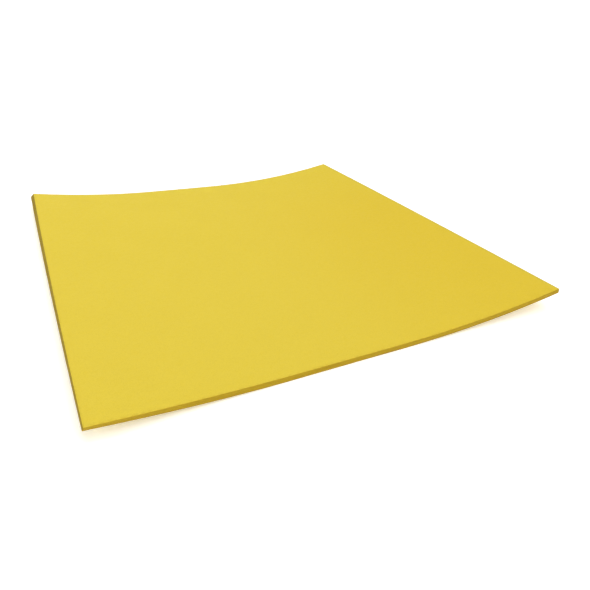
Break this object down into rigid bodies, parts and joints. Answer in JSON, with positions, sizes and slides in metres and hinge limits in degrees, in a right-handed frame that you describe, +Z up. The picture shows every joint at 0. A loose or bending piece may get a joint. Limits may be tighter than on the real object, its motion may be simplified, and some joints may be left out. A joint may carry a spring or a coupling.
{
  "type": "foam sleeping pad",
  "caption": "Plain rectangular closed-cell foam sleeping pad. It lies face up with gently lifted ends, bends along its whole length and rolls up with its top face inside.",
  "frame": {"origin": "Centre of the pad's outline in plan, at the height of what it lies on.", "axes": "+Z up, out of the face that is lain on. X along the sheet's length, the way it rolls: -X is the outer end of the roll and +X the inner end. Y across its width."},
  "size_m": [1, 1.03, 0.0481],
  "materials": {
    "foam": "matte"
  },
  "bodies": {
    "floor_strip": {"floor_strip": "foam"},
    "outer_strip_01": {"outer_strip_01": "foam"},
    "outer_strip_02": {"outer_strip_02": "foam"},
    "outer_strip_03": {"outer_strip_03": "foam"},
    "outer_strip_04": {"outer_strip_04": "foam"},
    "outer_strip_05": {"outer_strip_05": "foam"},
    "outer_strip_06": {"outer_strip_06": "foam"},
    "outer_strip_07": {"outer_strip_07": "foam"},
    "outer_strip_08": {"outer_strip_08": "foam"},
    "outer_strip_09": {"outer_strip_09": "foam"},
    "outer_strip_10": {"outer_strip_10": "foam"},
    "outer_strip_11": {"outer_strip_11": "foam"},
    "outer_strip_12": {"outer_strip_12": "foam"},
    "outer_strip_13": {"outer_strip_13": "foam"},
    "outer_strip_14": {"outer_strip_14": "foam"},
    "inner_strip_01": {"inner_strip_01": "foam"},
    "inner_strip_02": {"inner_strip_02": "foam"},
    "inner_strip_03": {"inner_strip_03": "foam"},
    "inner_strip_04": {"inner_strip_04": "foam"},
    "inner_strip_05": {"inner_strip_05": "foam"},
    "inner_strip_06": {"inner_strip_06": "foam"},
    "inner_strip_07": {"inner_strip_07": "foam"},
    "inner_strip_08": {"inner_strip_08": "foam"},
    "inner_strip_09": {"inner_strip_09": "foam"},
    "inner_strip_10": {"inner_strip_10": "foam"},
    "inner_strip_11": {"inner_strip_11": "foam"},
    "inner_strip_12": {"inner_strip_12": "foam"},
    "inner_strip_13": {"inner_strip_13": "foam"},
    "inner_strip_14": {"inner_strip_14": "foam"},
    "inner_strip_15": {"inner_strip_15": "foam"},
    "inner_strip_16": {"inner_strip_16": "foam"},
    "inner_strip_17": {"inner_strip_17": "foam"},
    "inner_strip_18": {"inner_strip_18": "foam"},
    "inner_strip_19": {"inner_strip_19": "foam"},
    "inner_strip_20": {"inner_strip_20": "foam"},
    "inner_strip_21": {"inner_strip_21": "foam"},
    "inner_strip_22": {"inner_strip_22": "foam"},
    "inner_strip_23": {"inner_strip_23": "foam"},
    "inner_strip_24": {"inner_strip_24": "foam"},
    "inner_strip_25": {"inner_strip_25": "foam"},
    "inner_strip_26": {"inner_strip_26": "foam"},
    "inner_strip_27": {"inner_strip_27": "foam"},
    "inner_strip_28": {"inner_strip_28": "foam"},
    "inner_strip_29": {"inner_strip_29": "foam"},
    "inner_strip_30": {"inner_strip_30": "foam"},
    "inner_strip_31": {"inner_strip_31": "foam"},
    "inner_strip_32": {"inner_strip_32": "foam"},
    "inner_strip_33": {"inner_strip_33": "foam"},
    "inner_strip_34": {"inner_strip_34": "foam"},
    "inner_strip_35": {"inner_strip_35": "foam"},
    "inner_strip_36": {"inner_strip_36": "foam"},
    "inner_strip_37": {"inner_strip_37": "foam"},
    "inner_strip_38": {"inner_strip_38": "foam"},
    "inner_strip_39": {"inner_strip_39": "foam"}
  },
  "joints": [
    {"name": "outer_bend_01", "type": "hinge", "parent": "floor_strip", "child": "outer_strip_01", "pos_m": [-0.15439, 0, 0.011], "axis": [0, 1, 0], "range_deg": [-0.27, 22.25], "stiffness_Nm_per_rad": 5.07, "springref_deg": 2.25},
    {"name": "outer_bend_02", "type": "hinge", "parent": "outer_strip_01", "child": "outer_strip_02", "pos_m": [-0.17705, 0, 0.01111], "axis": [0, 1, 0], "range_deg": [-0.55, 21.97], "stiffness_Nm_per_rad": 5.01, "springref_deg": 1.99},
    {"name": "outer_bend_03", "type": "hinge", "parent": "outer_strip_02", "child": "outer_strip_03", "pos_m": [-0.20003, 0, 0.01144], "axis": [0, 1, 0], "range_deg": [-0.56, 21.97], "stiffness_Nm_per_rad": 4.94, "springref_deg": 1.74},
    {"name": "outer_bend_04", "type": "hinge", "parent": "outer_strip_03", "child": "outer_strip_04", "pos_m": [-0.2233, 0, 0.01199], "axis": [0, 1, 0], "range_deg": [-0.56, 21.96], "stiffness_Nm_per_rad": 4.87, "springref_deg": 1.5},
    {"name": "outer_bend_05", "type": "hinge", "parent": "outer_strip_04", "child": "outer_strip_05", "pos_m": [-0.24688, 0, 0.01279], "axis": [0, 1, 0], "range_deg": [-0.57, 21.95], "stiffness_Nm_per_rad": 4.81, "springref_deg": 1.27},
    {"name": "outer_bend_06", "type": "hinge", "parent": "outer_strip_05", "child": "outer_strip_06", "pos_m": [-0.27075, 0, 0.01384], "axis": [0, 1, 0], "range_deg": [-0.58, 21.94], "stiffness_Nm_per_rad": 4.75, "springref_deg": 1.05},
    {"name": "outer_bend_07", "type": "hinge", "parent": "outer_strip_06", "child": "outer_strip_07", "pos_m": [-0.29492, 0, 0.01514], "axis": [0, 1, 0], "range_deg": [-0.58, 21.94], "stiffness_Nm_per_rad": 4.69, "springref_deg": 0.85},
    {"name": "outer_bend_08", "type": "hinge", "parent": "outer_strip_07", "child": "outer_strip_08", "pos_m": [-0.31939, 0, 0.01671], "axis": [0, 1, 0], "range_deg": [-0.59, 21.93], "stiffness_Nm_per_rad": 4.63, "springref_deg": 0.67},
    {"name": "outer_bend_09", "type": "hinge", "parent": "outer_strip_08", "child": "outer_strip_09", "pos_m": [-0.34414, 0, 0.01855], "axis": [0, 1, 0], "range_deg": [-0.6, 21.92], "stiffness_Nm_per_rad": 4.57, "springref_deg": 0.51},
    {"name": "outer_bend_10", "type": "hinge", "parent": "outer_strip_09", "child": "outer_strip_10", "pos_m": [-0.36917, 0, 0.02068], "axis": [0, 1, 0], "range_deg": [-0.61, 21.91], "stiffness_Nm_per_rad": 4.52, "springref_deg": 0.36},
    {"name": "outer_bend_11", "type": "hinge", "parent": "outer_strip_10", "child": "outer_strip_11", "pos_m": [-0.39449, 0, 0.02311], "axis": [0, 1, 0], "range_deg": [-0.61, 21.91], "stiffness_Nm_per_rad": 4.46, "springref_deg": 0.24},
    {"name": "outer_bend_12", "type": "hinge", "parent": "outer_strip_11", "child": "outer_strip_12", "pos_m": [-0.42009, 0, 0.02583], "axis": [0, 1, 0], "range_deg": [-0.62, 21.9], "stiffness_Nm_per_rad": 4.41, "springref_deg": 0.14},
    {"name": "outer_bend_13", "type": "hinge", "parent": "outer_strip_12", "child": "outer_strip_13", "pos_m": [-0.44596, 0, 0.02887], "axis": [0, 1, 0], "range_deg": [-0.63, 21.89], "stiffness_Nm_per_rad": 4.36, "springref_deg": 0.06},
    {"name": "outer_bend_14", "type": "hinge", "parent": "outer_strip_13", "child": "outer_strip_14", "pos_m": [-0.4721, 0, 0.03224], "axis": [0, 1, 0], "range_deg": [-0.64, 21.88], "stiffness_Nm_per_rad": 4.31, "springref_deg": 0.02},
    {"name": "inner_bend_01", "type": "hinge", "parent": "floor_strip", "child": "inner_strip_01", "pos_m": [-0.13203, 0, 0.011], "axis": [0, -1, 0], "range_deg": [0, 22.52], "stiffness_Nm_per_rad": 5.14, "springref_deg": 2.52},
    {"name": "inner_bend_02", "type": "hinge", "parent": "inner_strip_01", "child": "inner_strip_02", "pos_m": [-0.10997, 0, 0.011], "axis": [0, -1, 0], "range_deg": [0, 22.52], "stiffness_Nm_per_rad": 5.22, "springref_deg": 2.78},
    {"name": "inner_bend_03", "type": "hinge", "parent": "inner_strip_02", "child": "inner_strip_03", "pos_m": [-0.08823, 0, 0.011], "axis": [0, -1, 0], "range_deg": [0, 22.52], "stiffness_Nm_per_rad": 5.29, "springref_deg": 3.06},
    {"name": "inner_bend_04", "type": "hinge", "parent": "inner_strip_03", "child": "inner_strip_04", "pos_m": [-0.06679, 0, 0.011], "axis": [0, -1, 0], "range_deg": [0, 22.52], "stiffness_Nm_per_rad": 5.37, "springref_deg": 3.33},
    {"name": "inner_bend_05", "type": "hinge", "parent": "inner_strip_04", "child": "inner_strip_05", "pos_m": [-0.04566, 0, 0.011], "axis": [0, -1, 0], "range_deg": [0, 22.52], "stiffness_Nm_per_rad": 5.45, "springref_deg": 3.62},
    {"name": "inner_bend_06", "type": "hinge", "parent": "inner_strip_05", "child": "inner_strip_06", "pos_m": [-0.02483, 0, 0.011], "axis": [0, -1, 0], "range_deg": [0, 22.52], "stiffness_Nm_per_rad": 5.53, "springref_deg": 3.9},
    {"name": "inner_bend_07", "type": "hinge", "parent": "inner_strip_06", "child": "inner_strip_07", "pos_m": [-0.00432, 0, 0.011], "axis": [0, -1, 0], "range_deg": [0, 22.52], "stiffness_Nm_per_rad": 5.61, "springref_deg": 4.18},
    {"name": "inner_bend_08", "type": "hinge", "parent": "inner_strip_07", "child": "inner_strip_08", "pos_m": [0.01589, 0, 0.011], "axis": [0, -1, 0], "range_deg": [0, 22.52], "stiffness_Nm_per_rad": 5.7, "springref_deg": 3.93},
    {"name": "inner_bend_09", "type": "hinge", "parent": "inner_strip_08", "child": "inner_strip_09", "pos_m": [0.03579, 0, 0.011], "axis": [0, -1, 0], "range_deg": [0, 22.52], "stiffness_Nm_per_rad": 5.79, "springref_deg": 3.56},
    {"name": "inner_bend_10", "type": "hinge", "parent": "inner_strip_09", "child": "inner_strip_10", "pos_m": [0.05539, 0, 0.011], "axis": [0, -1, 0], "range_deg": [-0.1, 22.42], "stiffness_Nm_per_rad": 5.88, "springref_deg": 3.21},
    {"name": "inner_bend_11", "type": "hinge", "parent": "inner_strip_10", "child": "inner_strip_11", "pos_m": [0.07468, 0, 0.01104], "axis": [0, -1, 0], "range_deg": [-0.42, 22.1], "stiffness_Nm_per_rad": 5.97, "springref_deg": 2.9},
    {"name": "inner_bend_12", "type": "hinge", "parent": "inner_strip_11", "child": "inner_strip_12", "pos_m": [0.09365, 0, 0.01121], "axis": [0, -1, 0], "range_deg": [-0.41, 22.11], "stiffness_Nm_per_rad": 6.07, "springref_deg": 2.6},
    {"name": "inner_bend_13", "type": "hinge", "parent": "inner_strip_12", "child": "inner_strip_13", "pos_m": [0.11232, 0, 0.01152], "axis": [0, -1, 0], "range_deg": [-0.41, 22.11], "stiffness_Nm_per_rad": 6.17, "springref_deg": 2.33},
    {"name": "inner_bend_14", "type": "hinge", "parent": "inner_strip_13", "child": "inner_strip_14", "pos_m": [0.13068, 0, 0.01195], "axis": [0, -1, 0], "range_deg": [-0.4, 22.12], "stiffness_Nm_per_rad": 6.27, "springref_deg": 2.08},
    {"name": "inner_bend_15", "type": "hinge", "parent": "inner_strip_14", "child": "inner_strip_15", "pos_m": [0.14873, 0, 0.0125], "axis": [0, -1, 0], "range_deg": [-0.39, 22.13], "stiffness_Nm_per_rad": 6.38, "springref_deg": 1.85},
    {"name": "inner_bend_16", "type": "hinge", "parent": "inner_strip_15", "child": "inner_strip_16", "pos_m": [0.16647, 0, 0.01316], "axis": [0, -1, 0], "range_deg": [-0.39, 22.13], "stiffness_Nm_per_rad": 6.49, "springref_deg": 1.64},
    {"name": "inner_bend_17", "type": "hinge", "parent": "inner_strip_16", "child": "inner_strip_17", "pos_m": [0.1839, 0, 0.01393], "axis": [0, -1, 0], "range_deg": [-0.38, 22.14], "stiffness_Nm_per_rad": 6.61, "springref_deg": 1.44},
    {"name": "inner_bend_18", "type": "hinge", "parent": "inner_strip_17", "child": "inner_strip_18", "pos_m": [0.20101, 0, 0.0148], "axis": [0, -1, 0], "range_deg": [-0.37, 22.15], "stiffness_Nm_per_rad": 6.73, "springref_deg": 1.27},
    {"name": "inner_bend_19", "type": "hinge", "parent": "inner_strip_18", "child": "inner_strip_19", "pos_m": [0.21781, 0, 0.01576], "axis": [0, -1, 0], "range_deg": [-0.37, 22.15], "stiffness_Nm_per_rad": 6.85, "springref_deg": 1.11},
    {"name": "inner_bend_20", "type": "hinge", "parent": "inner_strip_19", "child": "inner_strip_20", "pos_m": [0.2343, 0, 0.01681], "axis": [0, -1, 0], "range_deg": [-0.36, 22.16], "stiffness_Nm_per_rad": 6.98, "springref_deg": 0.97},
    {"name": "inner_bend_21", "type": "hinge", "parent": "inner_strip_20", "child": "inner_strip_21", "pos_m": [0.25047, 0, 0.01795], "axis": [0, -1, 0], "range_deg": [-0.35, 22.17], "stiffness_Nm_per_rad": 7.11, "springref_deg": 0.84},
    {"name": "inner_bend_22", "type": "hinge", "parent": "inner_strip_21", "child": "inner_strip_22", "pos_m": [0.26633, 0, 0.01916], "axis": [0, -1, 0], "range_deg": [-0.35, 22.17], "stiffness_Nm_per_rad": 7.25, "springref_deg": 0.72},
    {"name": "inner_bend_23", "type": "hinge", "parent": "inner_strip_22", "child": "inner_strip_23", "pos_m": [0.28188, 0, 0.02044], "axis": [0, -1, 0], "range_deg": [-0.34, 22.18], "stiffness_Nm_per_rad": 7.4, "springref_deg": 0.61},
    {"name": "inner_bend_24", "type": "hinge", "parent": "inner_strip_23", "child": "inner_strip_24", "pos_m": [0.29711, 0, 0.02178], "axis": [0, -1, 0], "range_deg": [-0.33, 22.19], "stiffness_Nm_per_rad": 7.55, "springref_deg": 0.52},
    {"name": "inner_bend_25", "type": "hinge", "parent": "inner_strip_24", "child": "inner_strip_25", "pos_m": [0.31203, 0, 0.02319], "axis": [0, -1, 0], "range_deg": [-0.33, 22.19], "stiffness_Nm_per_rad": 7.7, "springref_deg": 0.44},
    {"name": "inner_bend_26", "type": "hinge", "parent": "inner_strip_25", "child": "inner_strip_26", "pos_m": [0.32663, 0, 0.02465], "axis": [0, -1, 0], "range_deg": [-0.32, 22.2], "stiffness_Nm_per_rad": 7.87, "springref_deg": 0.36},
    {"name": "inner_bend_27", "type": "hinge", "parent": "inner_strip_26", "child": "inner_strip_27", "pos_m": [0.34092, 0, 0.02616], "axis": [0, -1, 0], "range_deg": [-0.31, 22.21], "stiffness_Nm_per_rad": 8.04, "springref_deg": 0.3},
    {"name": "inner_bend_28", "type": "hinge", "parent": "inner_strip_27", "child": "inner_strip_28", "pos_m": [0.3549, 0, 0.02771], "axis": [0, -1, 0], "range_deg": [-0.31, 22.21], "stiffness_Nm_per_rad": 8.21, "springref_deg": 0.24},
    {"name": "inner_bend_29", "type": "hinge", "parent": "inner_strip_28", "child": "inner_strip_29", "pos_m": [0.36856, 0, 0.0293], "axis": [0, -1, 0], "range_deg": [-0.3, 22.22], "stiffness_Nm_per_rad": 8.4, "springref_deg": 0.2},
    {"name": "inner_bend_30", "type": "hinge", "parent": "inner_strip_29", "child": "inner_strip_30", "pos_m": [0.38191, 0, 0.03093], "axis": [0, -1, 0], "range_deg": [-0.29, 22.23], "stiffness_Nm_per_rad": 8.59, "springref_deg": 0.15},
    {"name": "inner_bend_31", "type": "hinge", "parent": "inner_strip_30", "child": "inner_strip_31", "pos_m": [0.39494, 0, 0.03259], "axis": [0, -1, 0], "range_deg": [-0.29, 22.24], "stiffness_Nm_per_rad": 8.8, "springref_deg": 0.12},
    {"name": "inner_bend_32", "type": "hinge", "parent": "inner_strip_31", "child": "inner_strip_32", "pos_m": [0.40766, 0, 0.03427], "axis": [0, -1, 0], "range_deg": [-0.28, 22.24], "stiffness_Nm_per_rad": 9.01, "springref_deg": 0.09},
    {"name": "inner_bend_33", "type": "hinge", "parent": "inner_strip_32", "child": "inner_strip_33", "pos_m": [0.42007, 0, 0.03597], "axis": [0, -1, 0], "range_deg": [-0.27, 22.25], "stiffness_Nm_per_rad": 9.23, "springref_deg": 0.07},
    {"name": "inner_bend_34", "type": "hinge", "parent": "inner_strip_33", "child": "inner_strip_34", "pos_m": [0.43217, 0, 0.03768], "axis": [0, -1, 0], "range_deg": [-0.27, 22.26], "stiffness_Nm_per_rad": 9.47, "springref_deg": 0.05},
    {"name": "inner_bend_35", "type": "hinge", "parent": "inner_strip_34", "child": "inner_strip_35", "pos_m": [0.44395, 0, 0.03941], "axis": [0, -1, 0], "range_deg": [-0.26, 22.26], "stiffness_Nm_per_rad": 9.72, "springref_deg": 0.03},
    {"name": "inner_bend_36", "type": "hinge", "parent": "inner_strip_35", "child": "inner_strip_36", "pos_m": [0.45542, 0, 0.04114], "axis": [0, -1, 0], "range_deg": [-0.25, 22.27], "stiffness_Nm_per_rad": 9.98, "springref_deg": 0.02},
    {"name": "inner_bend_37", "type": "hinge", "parent": "inner_strip_36", "child": "inner_strip_37", "pos_m": [0.46658, 0, 0.04288], "axis": [0, -1, 0], "range_deg": [-0.25, 22.28], "stiffness_Nm_per_rad": 10.3, "springref_deg": 0.01},
    {"name": "inner_bend_38", "type": "hinge", "parent": "inner_strip_37", "child": "inner_strip_38", "pos_m": [0.47743, 0, 0.04462], "axis": [0, -1, 0], "range_deg": [-0.24, 22.28], "stiffness_Nm_per_rad": 10.5, "springref_deg": 0},
    {"name": "inner_bend_39", "type": "hinge", "parent": "inner_strip_38", "child": "inner_strip_39", "pos_m": [0.48797, 0, 0.04635], "axis": [0, -1, 0], "range_deg": [-0.23, 22.29], "stiffness_Nm_per_rad": 10.9, "springref_deg": 0}
  ]
}
